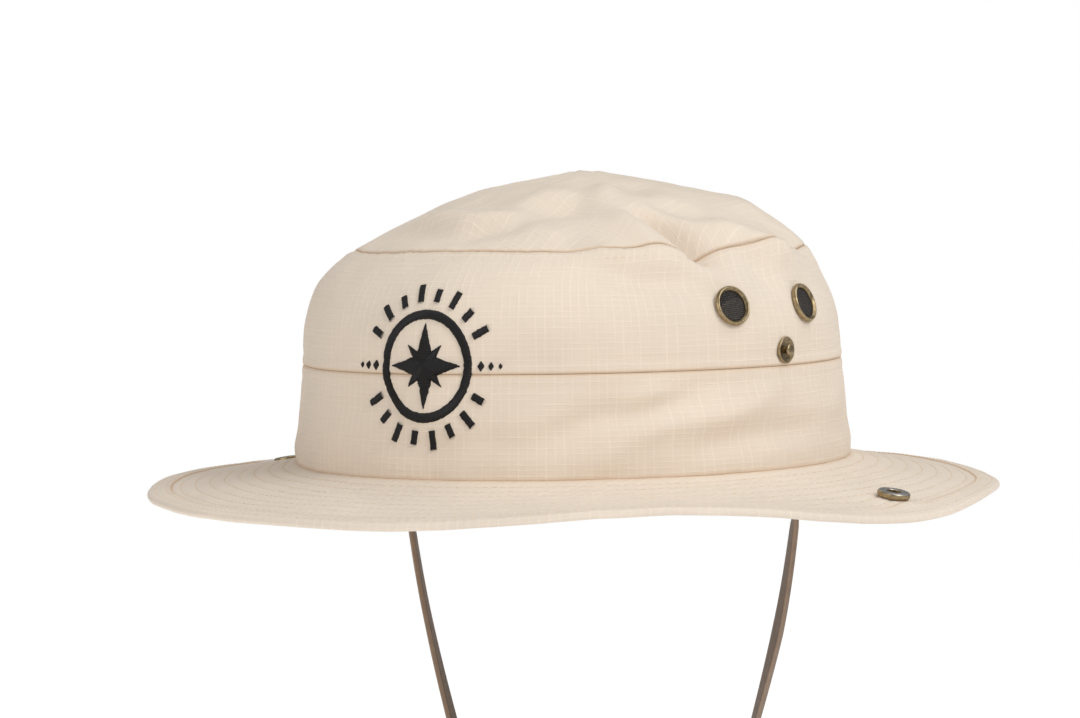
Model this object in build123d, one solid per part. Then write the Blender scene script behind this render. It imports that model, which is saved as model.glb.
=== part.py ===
from build123d import *
import math
import os

# A boonie hat, in millimetres. +Z is up, -Y is the front, +X is the wearer's left.
# The origin is the centre of the head opening, at the seam between crown and brim.

# ---- driving dimensions -------------------------------------------------------------
# The head opening is an oval of four arcs: two shallow ones at the sides, two tighter
# ones at front and back. Every other outline is that oval grown or shrunk all round.
opening_x, opening_y = 91.0, 100.0      # half-width and half-length
end_radius = 88.0                       # of the arcs at front and back
end_centre = opening_y - end_radius
side_radius = (opening_x**2 + end_centre**2 - end_radius**2) / (2 * (opening_x - end_radius))
side_centre = side_radius - opening_x

# Crown: how far the oval has grown at each height, as straight stretches of wall.
lower_profile = [(0.0, 0.3), (-2.2, 33.0)]
upper_profile = [(-2.2, 33.05), (-3.2, 47.0), (-6.6, 58.0), (-13.3, 67.0), (-17.5, 71.0)]
top_profile = [(-17.5, 71.05), (-33.0, 82.0), (-51.0, 89.4), (-74.0, 95.8)]
cloth = 1.2                  # crown wall: two plies of cotton
mid_seam_z = 33.0
top_seam_z = 71.0

# Brim: a shallow cone round the opening
brim_in, brim_out = -1.3, 51.3
brim_drop = 10.0
upper_ply, interlining, lower_ply = 0.8, 0.5, 0.8
brim_thick = upper_ply + interlining + lower_ply
hem_width, hem_cloth = 8.0, 0.6
fold_x = 91.5                # the line that each side of the brim folds up about
fold_gap = 0.3

# Side hardware, on both sides of the hat
hardware_y = -3.5
vent_z = 52.5
vent_angle = 9.7             # each vent, either side of the middle of the hat's side
vent_middle = 4.0            # that middle, turned forward
vent_ring, vent_hole = 6.5, 5.0
socket_x = 129.0
socket_ring, socket_bore, socket_tall = 5.25, 2.4, 2.2
stud_flange, stud_post, stud_tall = 4.4, 2.1, 1.8
stud_stand = 0.35            # the flat flange clears the curved wall

# Front embroidery: a compass star in a ring, with rays round it
emblem_angle = 10.8          # degrees from the front, towards the wearer's left
emblem_z = 35.5
emblem_ring = 17.0
emblem_line = 1.6
star_long, star_short, star_waist = 16.2, 10.5, 3.4
ray_in, ray_long, ray_count = 19.0, 6.5, 8
backing_radius = 21.5
thread = 0.55

# Sweatband, with its two blank labels at the back, and the chin strap
band_top_z = 28.0
size_label, size_label_z = (14, 40, 9), 20.0
care_label, care_label_z = (32, 40, 10), 8.5
crown_base_z = 0.3           # the wall stands on the brim
strap_x, strap_y = 85.8, 9.0   # where each half is sewn in
strap_wide, strap_thick = 5.5, 1.8
strap_pivot_z = -1.5
strap_end_z = -305.0
tab_thick, tab_wide, tab_tall = 1.6, 6.4, 12.0
keeper_x, keeper_y, keeper_tall = 6.4, 7.0, 11.0
lock_z = -268.0
lock_radius, lock_bore = 7.0, 4.7
lock_front_y, lock_rear_y = -1.0, 22.0
lock_end_wall = 2.0
button_front_y, button_rear_y, button_travel = -6.0, 14.5, 3.5
spring_radius, spring_wire, spring_pitch = 3.3, 0.35, 1.25
lock_slot_x = 5.0

# Centre line of each half of the chin strap, from the hat down: X and Z, at Y = strap_y.
left_route = [
    (strap_x, strap_pivot_z), (76.8, -38), (64.4, -82), (48.6, -128), (30.2, -173),
    (11.8, -211), (1.3, -243), (1.15, -305),
]
right_route = [
    (-strap_x, strap_pivot_z), (-77.2, -37), (-65.2, -80), (-49.0, -127), (-31.2, -171),
    (-12.2, -210), (-1.35, -242), (-1.15, -305),
]

os.makedirs("parts", exist_ok=True)


# ---- shape helpers ------------------------------------------------------------------
def oval(grow, z):
    """The opening's outline at a height, grown all round."""
    tip_x = side_centre * (end_radius + grow) / math.hypot(side_centre, end_centre)
    tip_y = end_centre + end_centre * (end_radius + grow) / math.hypot(side_centre, end_centre)
    x, y = opening_x + grow, opening_y + grow
    arcs = [
        ThreePointArc((tip_x, -tip_y, z), (x, 0, z), (tip_x, tip_y, z)),
        ThreePointArc((tip_x, tip_y, z), (0, y, z), (-tip_x, tip_y, z)),
        ThreePointArc((-tip_x, tip_y, z), (-x, 0, z), (-tip_x, -tip_y, z)),
        ThreePointArc((-tip_x, -tip_y, z), (0, -y, z), (tip_x, -tip_y, z)),
    ]
    return make_face(Wire(arcs))


def stack(levels):
    """A solid with straight walls between ovals, each given as (grow, z)."""
    return loft([oval(grow, z) for grow, z in levels], ruled=True)


def wall_slope(levels, i):
    """Outward part of the wall's normal on either side of a level, averaged."""
    slopes = []
    for (g0, z0), (g1, z1) in zip(levels, levels[1:]):
        slopes.append(math.atan2(g0 - g1, z1 - z0))
    near = slopes[max(i - 1, 0)], slopes[min(i, len(slopes) - 1)]
    return sum(near) / 2, abs(near[1] - near[0]) / 2


def inset_levels(levels, inset):
    """The same wall moved inwards by an inset, or outwards when negative."""
    moved = []
    for i, (grow, z) in enumerate(levels):
        lean, half_bend = wall_slope(levels, i)
        reach = inset / math.cos(half_bend)
        moved.append((grow - reach * math.cos(lean), z - reach * math.sin(lean)))
    return moved


def run_on(levels, low, high):
    """Carry the first and last stretches of wall on to new heights."""
    (g0, z0), (g1, z1) = levels[0], levels[1]
    (g2, z2), (g3, z3) = levels[-2], levels[-1]
    first = (g0 + (g1 - g0) * (low - z0) / (z1 - z0), low)
    last = (g3 + (g3 - g2) * (high - z3) / (z3 - z2), high)
    return [first] + levels[1:-1] + [last]


def wall_layer(levels, outside, inside, low, high):
    """A layer of wall between two insets, cut level at two heights."""
    outer = stack(run_on(inset_levels(levels, outside), low, high))
    inner = stack(run_on(inset_levels(levels, inside), low - 1, high + 1))
    return outer - inner


def brim_cone(shift):
    """The solid under the brim's cone, moved up by shift and run on past both edges."""
    levels = []
    for t in (1.5, -0.1):
        levels.append((brim_in + t * (brim_out - brim_in), shift - t * brim_drop))
    return stack(levels)


def brim_slab(top, bottom, grow_in, grow_out):
    """A layer of the brim between two depths and two upright edges."""
    slab = brim_cone(top) - brim_cone(bottom)
    slab &= stack([(grow_out, -40), (grow_out, 20)])
    return slab - stack([(grow_in, -41), (grow_in, 21)])


def crown_x(z):
    """Half-width of the upper part of the crown at a height."""
    for (g0, z0), (g1, z1) in zip(upper_profile, upper_profile[1:]):
        if z0 <= z <= z1:
            return opening_x + g0 + (g1 - g0) * (z - z0) / (z1 - z0)
    return opening_x


def wall_plane(forward, z, side=1):
    """A plane on the crown's side wall: z_dir out, turned forward by some degrees."""
    out = math.radians(forward)
    lean = (crown_x(z - 3) - crown_x(z + 3)) / 6
    reach = crown_x(z) + side_centre
    origin = (side * (reach * math.cos(out) - side_centre), -reach * math.sin(out), z)
    normal = Vector(side * math.cos(out), -math.sin(out), lean).normalized()
    along = Vector(side * math.sin(out), math.cos(out), 0)
    return Plane(origin=origin, x_dir=along, z_dir=normal)


def tube(plane, outer, inner, z0, z1):
    """A round tube or disc on a plane, between two heights over it."""
    standing = (Align.CENTER, Align.CENTER, Align.MIN)
    body = Pos(0, 0, z0) * Cylinder(outer, z1 - z0, align=standing)
    if inner:
        body -= Pos(0, 0, z0 - 1) * Cylinder(inner, z1 - z0 + 2, align=standing)
    return plane * body


nodes = {}

# ---- places of the hardware ---------------------------------------------------------
slope = math.atan2(brim_drop, brim_out - brim_in)
fold_z = -(fold_x - opening_x - brim_in) * math.tan(slope)
socket_reach = (socket_x - fold_x) / math.cos(slope)
stud_z = fold_z + socket_reach   # the folded brim stands upright, so the snap meets there
vents = {
    (side, place): wall_plane(vent_middle + turn, vent_z, 1 if side == "left" else -1)
    for side in ("left", "right")
    for place, turn in (("front", vent_angle), ("rear", -vent_angle))
}
studs = {
    side: Plane(
        origin=(sign * crown_x(stud_z), hardware_y, stud_z),
        x_dir=(0, sign, 0), z_dir=(sign, 0, 0),
    )
    for side, sign in (("left", 1), ("right", -1))
}
sockets = {
    side: Plane(
        origin=(sign * socket_x, hardware_y, fold_z - (socket_x - fold_x) * math.tan(slope)),
        x_dir=(0, sign, 0), z_dir=(sign * math.sin(slope), 0, math.cos(slope)),
    )
    for side, sign in (("left", 1), ("right", -1))
}

# ---- crown --------------------------------------------------------------------------
nodes["crown_top_panel"] = wall_layer(top_profile, 0, cloth, top_seam_z + 0.05, 95.8) + stack(
    [(-74.0, 95.8 - cloth), (-74.0, 95.8)]
)
upper_band = wall_layer(upper_profile, 0, cloth, mid_seam_z + 0.05, top_seam_z)
for plane in vents.values():
    upper_band -= tube(plane, vent_ring - 0.6, 0, -6, 6)
for plane in studs.values():
    upper_band -= tube(plane, 1.3, 0, -6, 6)
nodes["crown_upper_band"] = upper_band
nodes["crown_lower_band"] = wall_layer(lower_profile, 0, cloth, crown_base_z, mid_seam_z)
nodes["top_seam_tape"] = wall_layer(
    upper_profile[-2:], cloth + 0.1, cloth + 0.7, top_seam_z - 4, top_seam_z - 0.5
)
nodes["mid_seam_tape"] = wall_layer(
    lower_profile, cloth + 0.4, cloth + 0.9, mid_seam_z - 4, mid_seam_z + 3.3
)
nodes["sweatband"] = wall_layer(lower_profile, cloth + 0.4, cloth + 1.4, -1.0, band_top_z)
nodes["brim_seam_binding"] = stack([(brim_in - 0.1, -2.2), (brim_in - 0.1, -1.05)]) - stack(
    [(brim_in - 1.3, -3), (brim_in - 1.3, 0)]
)

# ---- front embroidery ---------------------------------------------------------------
emblem_a = math.radians(emblem_angle)
emblem_out = Vector(math.sin(emblem_a), -math.cos(emblem_a), 0)
emblem_plane = Plane(
    origin=(emblem_out.X * 60, emblem_out.Y * 60, emblem_z),
    x_dir=(math.cos(emblem_a), math.sin(emblem_a), 0), z_dir=emblem_out,
)


def star(points, long, short):
    """A flat star with its first point up."""
    corners = []
    for i in range(2 * points):
        r = long if i % 2 == 0 else short
        a = math.pi / 2 + i * math.pi / points
        corners.append((r * math.cos(a), r * math.sin(a)))
    return make_face(Polyline(*corners, close=True))


ring = Circle(emblem_ring) - Circle(emblem_ring - emblem_line)
design = ring + star(4, star_long, star_waist) + Rot(0, 0, 45) * star(4, star_short, star_waist)
for i in range(ray_count):
    ray = Pos(ray_in + ray_long / 2, 0) * Rectangle(ray_long, emblem_line)
    design += Rot(0, 0, i * 360 / ray_count) * ray
emblem_prism = emblem_plane * extrude(design, 60)
backing_prism = emblem_plane * extrude(Circle(backing_radius), 60)
emblem_parts = []
backing_parts = []
for profile, low, high in ((lower_profile, 5, mid_seam_z), (upper_profile, mid_seam_z + 0.05, 65)):
    emblem_parts += (wall_layer(profile, -thread, 0, low, high) & emblem_prism).solids()
    backing_parts += (wall_layer(profile, cloth + 0.05, cloth + 0.3, low, high) & backing_prism).solids()
nodes["front_emblem"] = Compound(emblem_parts)
nodes["emblem_backing"] = Compound(backing_parts)

# ---- vents, studs -------------------------------------------------------------------
for (side, place), plane in vents.items():
    name = f"{side}_{place}_vent"
    flange = tube(plane, vent_ring, vent_hole, 0.3, 1.2)
    nodes[name + "_eyelet"] = flange + tube(plane, vent_ring - 0.7, vent_hole, -2.6, 0.3)
    nodes[name + "_mesh"] = tube(plane, vent_hole, 0, -0.6, -0.2)
    nodes[name + "_washer"] = tube(plane, vent_ring + 0.1, vent_ring - 0.65, -2.6, -1.75)

for side, plane in studs.items():
    face = stud_stand + 0.8
    flange = tube(plane, stud_flange, 0, stud_stand, face)
    post = tube(plane, stud_post, 0, face, face + stud_tall)
    tip = post.edges().filter_by(GeomType.CIRCLE).group_by(Axis.X)[-1 if side == "left" else 0]
    post = fillet(tip, 0.5)
    rivet = tube(plane, 1.2, 0, -2.4, stud_stand)
    nodes[side + "_snap_stud"] = flange + post + rivet
    nodes[side + "_stud_back"] = tube(plane, 4.0, 0, -3.2, -2.4)

# ---- brim ---------------------------------------------------------------------------
ply_out = brim_out - hem_cloth
core_top, core_bottom = -upper_ply, -upper_ply - interlining
layers = {
    "upper_ply": brim_slab(0, core_top, brim_in, ply_out),
    "interlining": brim_slab(core_top, core_bottom, brim_in, ply_out),
    "lower_ply": brim_slab(core_bottom, -brim_thick, brim_in, ply_out),
}
hem = brim_slab(hem_cloth, -brim_thick - hem_cloth, brim_out - hem_width, brim_out)
layers["edge_binding"] = hem - brim_slab(0, -brim_thick, brim_in, ply_out)
for plane in sockets.values():
    for layer in ("upper_ply", "interlining", "lower_ply"):
        layers[layer] -= tube(plane, socket_bore + 0.2, 0, -8, 4)

root_x = fold_x - fold_gap - 0.2
flap_x = fold_x + fold_gap
sections = {
    "front_brim": Pos(0, -104, 0) * Box(2 * root_x, 192, 80),
    "rear_brim": Pos(0, 104, 0) * Box(2 * root_x, 192, 80),
    "left_brim": Pos(flap_x + 50, 0, 0) * Box(100, 400, 80),
    "right_brim": Pos(-flap_x - 50, 0, 0) * Box(100, 400, 80),
}
for section, mask in sections.items():
    for layer, slab in layers.items():
        nodes[f"{section}_{layer}"] = slab & mask

# ---- snap sockets on the brim -------------------------------------------------------
for side, plane in sockets.items():
    under = -brim_thick - 0.15
    body = tube(plane, socket_ring, socket_bore, 0.15, socket_tall)
    body -= tube(plane, 3.7, 2.9, 0.8, 1.5)
    nodes[side + "_snap_socket"] = body
    nodes[side + "_socket_spring"] = plane * Pos(0, 0, 1.15) * Torus(3.3, 0.25)
    eyelet = tube(plane, socket_bore, 0, under, 0.15)
    nodes[side + "_socket_cap"] = tube(plane, socket_ring - 0.05, 0, under - 0.9, under) + eyelet


# ---- chin strap ---------------------------------------------------------------------
def strap_radii(route):
    """The largest radius that each corner's two runs allow, and the runs."""
    points = [Vector(x, strap_y, z) for x, z in route]
    runs = [b - a for a, b in zip(points, points[1:])]
    radii = []
    for before, after in zip(runs, runs[1:]):
        half_turn = math.radians(before.get_angle(after)) / 2
        radii.append(0.45 * min(before.length, after.length) / math.tan(half_turn))
    return points, radii


def strap(name, route):
    """A flat strap along its route, with a round top end that turns in its stitching."""
    points, radii = strap_radii(route)
    path = FilletPolyline(*points, radius=radii)
    start = points[1] - points[0]
    frame = Plane(origin=points[0], x_dir=(0, 1, 0), z_dir=start)
    body = sweep(frame * Rectangle(strap_wide, strap_thick), path=path)
    length = path.length
    print(name, "length", round(length, 1), "radii", [round(r) for r in radii])
    print("volume", round(body.volume), "section x length", round(strap_wide * strap_thick * length))
    sign = 1 if points[0].X > 0 else -1
    top = Plane(origin=points[0] - Vector(sign * strap_thick / 2, 0, 0), z_dir=(sign, 0, 0))
    return body + top * extrude(Circle(strap_wide / 2), strap_thick)


nodes["left_chin_strap"] = strap("left_chin_strap", left_route)
nodes["right_chin_strap"] = strap("right_chin_strap", right_route)
tab_low = strap_pivot_z + strap_wide / 2 + 0.4
for side, sign in (("left", 1), ("right", -1)):
    tab = Box(tab_thick, tab_wide, tab_tall, align=(Align.CENTER, Align.CENTER, Align.MIN))
    nodes[side + "_strap_tab"] = Pos(sign * strap_x, strap_y, tab_low) * tab
keeper = Box(keeper_x, keeper_y, keeper_tall)
nodes["strap_end_keeper"] = Pos(0, strap_y, strap_end_z - keeper_tall / 2) * keeper

# ---- cord lock ----------------------------------------------------------------------
lock_plane = Plane(origin=(0, 0, lock_z), x_dir=(1, 0, 0), z_dir=(0, 1, 0))
bore_end = lock_rear_y - lock_end_wall
barrel = tube(lock_plane, lock_radius, 0, lock_front_y, lock_rear_y)
barrel = fillet(barrel.edges().filter_by(GeomType.CIRCLE), 1.2)
barrel -= tube(lock_plane, lock_bore, 0, lock_front_y - 2, bore_end)
slot_low, slot_high = strap_y - 3.3, strap_y + 3.3
barrel -= Pos(0, strap_y, lock_z) * Box(lock_slot_x, slot_high - slot_low, 30)
nodes["cord_lock_barrel"] = barrel
button = tube(lock_plane, lock_bore - 0.25, 0, button_front_y, button_rear_y)
button = fillet(button.edges().filter_by(GeomType.CIRCLE).group_by(Axis.Y)[0], 1.0)
gap_low, gap_high = slot_low - button_travel, slot_high
button -= Pos(0, (gap_low + gap_high) / 2, lock_z) * Box(lock_slot_x, gap_high - gap_low, 30)
nodes["cord_lock_button"] = button
coil = Helix(pitch=spring_pitch, height=bore_end - button_rear_y - 1.0, radius=spring_radius)
wire = sweep(Plane(coil @ 0, z_dir=coil % 0) * Circle(spring_wire), path=coil, is_frenet=True)
nodes["cord_lock_spring"] = lock_plane * Pos(0, 0, button_rear_y + 0.5) * wire

# ---- labels on the sweatband --------------------------------------------------------
label_layer = wall_layer(lower_profile, cloth + 1.45, cloth + 1.75, 2, band_top_z - 2)
nodes["size_label"] = label_layer & Pos(0, 90, size_label_z) * Box(*size_label)
nodes["care_label"] = label_layer & Pos(0, 90, care_label_z) * Box(*care_label)

for name, solid in nodes.items():
    export_step(solid, f"parts/{name}.step")
print(len(nodes), "nodes; studs at", round(stud_z, 3), "and folds at", round(fold_z, 3))
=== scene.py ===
import bmesh
import bpy
import math
import numpy as np
from mathutils import Matrix, Vector, noise


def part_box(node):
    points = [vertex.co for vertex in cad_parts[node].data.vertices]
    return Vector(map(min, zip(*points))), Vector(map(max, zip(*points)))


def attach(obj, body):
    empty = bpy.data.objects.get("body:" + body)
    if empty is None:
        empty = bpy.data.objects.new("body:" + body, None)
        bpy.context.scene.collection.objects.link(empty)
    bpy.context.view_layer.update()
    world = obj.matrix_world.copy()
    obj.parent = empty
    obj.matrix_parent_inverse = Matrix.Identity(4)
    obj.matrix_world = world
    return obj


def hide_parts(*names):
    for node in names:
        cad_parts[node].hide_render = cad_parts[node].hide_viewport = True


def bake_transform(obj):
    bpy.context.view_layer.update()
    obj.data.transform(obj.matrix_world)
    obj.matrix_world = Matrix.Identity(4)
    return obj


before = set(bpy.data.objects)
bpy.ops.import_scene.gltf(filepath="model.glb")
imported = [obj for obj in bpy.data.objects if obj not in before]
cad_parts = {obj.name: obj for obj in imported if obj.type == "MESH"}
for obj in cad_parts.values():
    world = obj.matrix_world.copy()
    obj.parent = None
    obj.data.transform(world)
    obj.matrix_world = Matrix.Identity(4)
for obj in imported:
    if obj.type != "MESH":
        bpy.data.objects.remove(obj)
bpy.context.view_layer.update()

mm = 0.001

# camera first, then everything is judged through it
view = {
    "turn": 38.0,          # degrees from the front towards the wearer's left
    "lift": 4.7,
    "distance": 1.08,
    "lens": 106.2,
    "roll": 0.7,
    "aim": (-0.01136, 0.03288),   # right and up of the head opening's centre
}


def makeCamera():
    turn, lift = math.radians(view["turn"]), math.radians(view["lift"])
    back = Vector((math.sin(turn) * math.cos(lift), -math.cos(turn) * math.cos(lift), math.sin(lift)))
    right = Vector((math.cos(turn), math.sin(turn), 0))
    up = back.cross(right)
    target = right * view["aim"][0] + up * view["aim"][1]
    place = back * view["distance"]
    camera = bpy.data.objects.new("camera", bpy.data.cameras.new("camera"))
    camera.data.lens = view["lens"]
    camera.data.sensor_width = 36
    camera.data.clip_start = 0.01
    look = (target - place).to_track_quat("-Z", "Y").to_matrix().to_4x4()
    rolled = Matrix.Rotation(-math.radians(view["roll"]), 4, "Z")
    camera.matrix_world = Matrix.Translation(place) @ look @ rolled
    bpy.context.scene.collection.objects.link(camera)
    bpy.context.scene.camera = camera


makeCamera()

# the hat's outline is an oval of four arcs, in mm, as the frame has it
hat = {
    "openingX": 91.0, "openingY": 100.0, "endRadius": 88.0,
    "midSeam": 32.9,       # lengths up the wall, from the brim
    "topSeam": 75.3,
    "middling": 93.0,      # a middling radius, to turn angles into lengths
    "cloth": 1.2,
    "brimIn": -1.3, "brimOut": 51.3, "brimDrop": 10.0, "brimThick": 1.8,
    "hemWidth": 8.0, "hemStep": 0.42,
    "slump": (4.6, 3.6),   # the crown's top leans back and to the wearer's left
    "slack": 0.027,        # the cloth draws in between front and side
}
endCentre = hat["openingY"] - hat["endRadius"]
shortfall = hat["openingX"] - hat["endRadius"]
sideRadius = (hat["openingX"]**2 + endCentre**2 - hat["endRadius"]**2) / (2 * shortfall)
sideCentre = sideRadius - hat["openingX"]
joinSine = math.sin(math.atan2(endCentre, sideCentre))

# the crown's wall, as the oval's growth and the height, carried on past both ends
wallPoints = [(0.0, -6.0), (0.0, 0.0), (-0.9, 16.0), (-2.2, 33.0), (-3.2, 47.0), (-6.4, 57.0), (-12.6, 66.5),
              (-18.0, 71.2), (-32.0, 80.4), (-50.0, 88.0), (-70.0, 92.8), (-91.0, 96.2), (-112.0, 95.2)]


def smooth(x, low, high):
    t = np.clip((x - low) / (high - low), 0, 1)
    return t * t * (3 - 2 * t)


def throughPoints(points, steps):
    dense = []
    for i in range(1, len(points) - 2):
        p0, p1, p2, p3 = (np.array(points[k], float) for k in range(i - 1, i + 3))
        for t in np.linspace(0, 1, steps, endpoint=False):
            dense.append(0.5 * (2 * p1 + (p2 - p0) * t + (2 * p0 - 5 * p1 + 4 * p2 - p3) * t * t
                                + (3 * p1 - p0 - 3 * p2 + p3) * t**3))
    dense.append(np.array(points[-2], float))
    return np.array(dense)


wall = throughPoints(wallPoints, 24)
wallLength = np.concatenate([[0], np.cumsum(np.hypot(*np.diff(wall, axis=0).T))])
hat["crownTop"] = float(wallLength[-1])


def ovalPoints(angle, grow):
    # angle is the direction that the outline faces there
    c, s = np.cos(angle), np.sin(angle)
    side = np.abs(s) < joinSine
    radius = np.where(side, sideRadius, hat["endRadius"]) + grow
    x = np.where(side, -np.sign(c) * sideCentre, 0) + radius * c
    y = np.where(side, 0, np.sign(s) * endCentre) + radius * s
    drawn = 1 - hat["slack"] * np.sin(2 * angle)**2
    return x * drawn, y * drawn


# broad folds: from and to as (degrees from the front towards the wearer's left, mm up the wall), then
# half-width and depth in mm, outwards when positive
folds = [
    # the deep tuck over the vents on the wearer's left, and the cloth it pulls
    (60, 98, 80, 68, 4.2, -6.4), (50, 96, 70, 70, 6.0, 3.0), (74, 88, 100, 70, 6.5, 3.4),
    (44, 66, 78, 62, 5.0, -2.6), (42, 74, 66, 70, 4.5, 1.6), (82, 74, 90, 58, 4.0, -1.8),
    (88, 76, 106, 62, 4.5, 1.4),
    (66, 104, 84, 92, 6.0, -2.2), (98, 88, 116, 70, 5.0, -1.8),
    # ridges over the forehead
    (-26, 90, 24, 97, 4.6, 2.8), (-32, 83, 28, 87, 4.6, -2.2), (18, 96, 50, 108, 7.0, -2.4),
    (22, 88, 40, 84, 4.5, 1.5), (4, 104, 40, 118, 7.0, 1.8), (-20, 106, 20, 112, 7.0, -1.6),
    (44, 98, 56, 128, 7.0, 2.4), (64, 110, 80, 134, 8.0, -2.0), (96, 92, 120, 110, 8.0, 1.8),
    # drawn lines in the lower band
    (34, 12, 74, 29, 4.0, -1.9), (46, 7, 90, 27, 4.5, 1.9), (62, 4, 104, 20, 4.5, -1.7),
    (52, 20, 66, 30, 3.5, 1.0), (12, 12, 40, 22, 5.0, 1.0), (88, 12, 112, 24, 5.0, 1.5),
    (-34, 8, 0, 19, 5.0, 1.0), (-14, 20, 8, 28, 4.5, -0.8),
    # the far side and the back
    (-70, 84, -46, 96, 5.0, -2.4), (-120, 70, -96, 84, 5.0, 1.9), (150, 68, 178, 82, 6.0, -2.4),
    (120, 84, 146, 72, 4.0, -3.2), (-160, 86, -130, 74, 5.0, -2.8), (-150, 14, -110, 24, 6.0, 1.6),
    (130, 12, 176, 22, 6.0, -1.7), (-96, 40, -70, 60, 6.0, -1.3), (-170, 44, -140, 60, 6.0, 1.4),
    (-84, 10, -50, 26, 5.0, -1.4),
]


def foldHeights(front, up):
    # front is the angle from the front in radians, up the length up the wall
    total = np.zeros_like(up)
    for a0, s0, a1, s1, width, depth in folds:
        middle = math.radians((a0 + a1) / 2)
        turn = (front - middle + math.pi) % (2 * math.pi) - math.pi
        reach = hat["middling"] * np.clip((hat["crownTop"] + 12 - up) / 90, 0.1, 1)
        x, y = turn * reach, up - (s0 + s1) / 2
        shrink = np.clip((hat["crownTop"] + 12 - (s0 + s1) / 2) / 90, 0.1, 1)
        dx = math.radians(a1 - a0) * hat["middling"] * shrink
        dy = s1 - s0
        length = math.hypot(dx, dy)
        along = (x * dx + y * dy) / length
        across = (x * -dy + y * dx) / length
        bend = across + 1.6 * np.sin(along / 9.0)
        ends = np.exp(-(along / (0.42 * length))**4)
        total += depth * ends * np.exp(-(bend / width)**2)
    return total


def ripples(front, up, size, seed):
    # soft uneven cloth, the same each run
    values = np.empty(len(up))
    for i, (a, s) in enumerate(zip(front, up)):
        reach = hat["middling"] / size
        values[i] = noise.noise(Vector((math.cos(a) * reach, math.sin(a) * reach, s / (size * 0.8) + seed)))
    return values


def nearSeam(up, seam, reach):
    return np.exp(-((up - seam) / reach)**2)


def crownPoints(angle, up, inset, detail=True):
    # the crown's surface at a facing angle and a length up the wall, moved in by inset
    grow = np.interp(up, wallLength, wall[:, 0])
    z = np.interp(up, wallLength, wall[:, 1])
    ahead = np.interp(up + 1.5, wallLength, wall[:, 0]), np.interp(up + 1.5, wallLength, wall[:, 1])
    behind = np.interp(up - 1.5, wallLength, wall[:, 0]), np.interp(up - 1.5, wallLength, wall[:, 1])
    lean = np.arctan2(behind[0] - ahead[0], ahead[1] - behind[1])
    front = angle + math.pi / 2
    front = (front + math.pi) % (2 * math.pi) - math.pi
    out = -np.asarray(inset, float) * np.ones_like(up)
    if detail:
        fade = smooth(hat["crownTop"] - up, 0, 30)
        out = out + foldHeights(front, up) * fade
        out = out + 0.9 * ripples(front, up, 34, 3.1) + 0.35 * ripples(front, up, 13, 8.7)
        seams = nearSeam(up, hat["midSeam"], 5) + nearSeam(up, hat["topSeam"] - 1, 6) + nearSeam(up, 0, 5)
        out = out + 0.28 * seams * ripples(front, up, 5.5, 1.3)
        gathers = np.sin(front * 118 + 5 * ripples(front, up * 0, 30, 2.0)) * ripples(front, up * 0, 16, 6.1)
        out = out + 0.42 * gathers * nearSeam(up, hat["topSeam"] - 1.6, 3.2)
        out = out + 0.22 * gathers * nearSeam(up, hat["midSeam"], 3.2)
        out = out + 0.3 * gathers * nearSeam(up, 1.0, 3.0)
        out = out + 0.9 * nearSeam(up, 5.0, 5.5)
        out = out - 0.35 * nearSeam(up, hat["midSeam"] + 4.2, 0.8)
        out = out - 0.35 * nearSeam(up, hat["midSeam"] - 4.2, 0.8)
        out = out - 0.3 * nearSeam(up, hat["topSeam"] - 4.2, 0.8)
    seamGrow = np.interp(hat["topSeam"], wallLength, wall[:, 0])
    onTop = up > hat["topSeam"]
    x, y = ovalPoints(angle, np.where(onTop, seamGrow, grow + out * np.cos(lean)))
    shrink = np.where(onTop, (91 + grow + out * np.cos(lean)) / (91 + seamGrow), 1.0)
    z = z + out * np.sin(lean)
    lift = smooth(z, 58, 84)
    return np.stack([x * shrink + hat["slump"][0] * lift, y * shrink + hat["slump"][1] * lift, z], 1)


def finishPiece(bm, name, material, body="root", replaces=(), flip=None, rides=True):
    # mm to metres, one object at the origin
    bmesh.ops.scale(bm, vec=(mm, mm, mm), verts=bm.verts)
    if flip is not None:
        bm.faces.ensure_lookup_table()
        bmesh.ops.recalc_face_normals(bm, faces=bm.faces)
        if flip(bm):
            bmesh.ops.reverse_faces(bm, faces=bm.faces)
    for face in bm.faces:
        face.smooth = True
    mesh = bpy.data.meshes.new(name)
    bm.to_mesh(mesh)
    bm.free()
    piece = bpy.data.objects.new(name, mesh)
    bpy.context.scene.collection.objects.link(piece)
    mesh.materials.append(material)
    if rides:
        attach(piece, body)
    if replaces:
        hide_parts(*replaces)
    return piece


def pointsInward(bm):
    # True when the faces of an open wall look at the hat's middle
    total = 0
    for face in bm.faces:
        middle = face.calc_center_median()
        total += face.normal.dot(Vector((middle.x, middle.y, 0.05))) * face.calc_area()
    return total < 0


def unroll(bm, angles, ups, radius):
    # UV in metres: round the hat, and up the wall
    uv = bm.loops.layers.uv.new("cloth")
    for face in bm.faces:
        turned = [angles[loop.vert.index] for loop in face.loops]
        wraps = max(turned) - min(turned) > math.pi
        for loop, a in zip(face.loops, turned):
            if wraps and a < 0:
                a += 2 * math.pi
            loop[uv].uv = (a * radius * mm, ups[loop.vert.index] * mm)


def spinSheet(rows, steps):
    # a flat ring, one row of points for each length up the wall, to be wrapped round the hat
    bm = bmesh.new()
    verts = [bm.verts.new((200.0 + up, 0, 0)) for up in rows]
    edges = [bm.edges.new(pair) for pair in zip(verts, verts[1:])]
    bmesh.ops.spin(bm, geom=verts + edges, cent=(0, 0, 0), axis=(0, 0, 1), dvec=(0, 0, 0),
                   angle=2 * math.pi, steps=steps, use_merge=True, use_normal_flip=False, use_duplicate=False)
    bmesh.ops.remove_doubles(bm, verts=bm.verts, dist=0.001)
    bm.verts.index_update()
    return bm


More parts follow.
